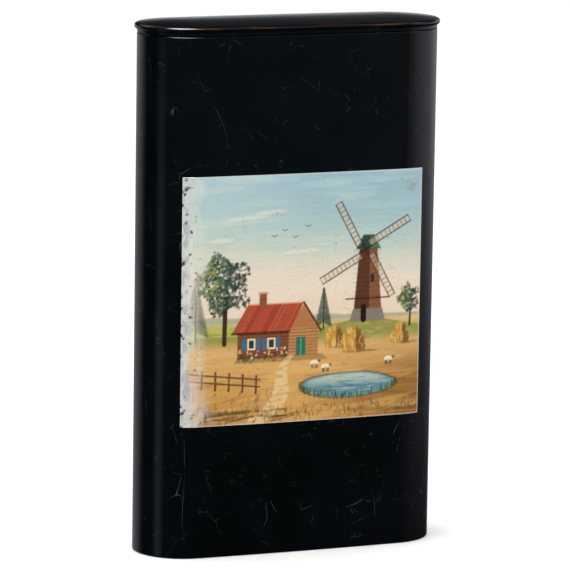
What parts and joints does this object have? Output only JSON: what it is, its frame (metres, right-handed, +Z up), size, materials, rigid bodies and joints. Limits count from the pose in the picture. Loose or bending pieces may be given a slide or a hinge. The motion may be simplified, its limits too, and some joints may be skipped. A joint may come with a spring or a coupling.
{
  "type": "lacquer cigar box",
  "caption": "Upright flat oval case of black lacquered papier-mache with a painted front panel and a thin crowned lid hinged along its back.",
  "frame": {"origin": "centre of the underside, on the surface that the box stands on", "axes": "+Z up, +Y to the back where the lid is hinged, +X to the right as seen from the painted front"},
  "size_m": [0.0802, 0.027, 0.1337],
  "materials": {
    "black_lacquer": "gloss",
    "red_lacquer": "gloss",
    "oil_paint": "varnished",
    "hinge_brass": "aged",
    "pin_steel": "satin"
  },
  "bodies": {
    "case": {"body_tube": "black_lacquer", "base_board": "black_lacquer", "mouth_collar": "red_lacquer", "painted_panel": "oil_paint", "hinge_body_leaf": "hinge_brass", "hinge_pin": "pin_steel", "body_brad_1": "hinge_brass", "body_brad_2": "hinge_brass", "body_brad_3": "hinge_brass"},
    "lid": {"lid_board": "black_lacquer", "lid_rim": "black_lacquer", "lid_lining": "red_lacquer", "hinge_lid_leaf": "hinge_brass", "lid_brad_1": "hinge_brass", "lid_brad_2": "hinge_brass", "lid_brad_3": "hinge_brass"}
  },
  "joints": [
    {"name": "lid_hinge", "type": "hinge", "parent": "case", "child": "lid", "pos_m": [0, 0.0121, 0.13062], "axis": [-1, 0, 0], "range_deg": [0, 98]}
  ]
}
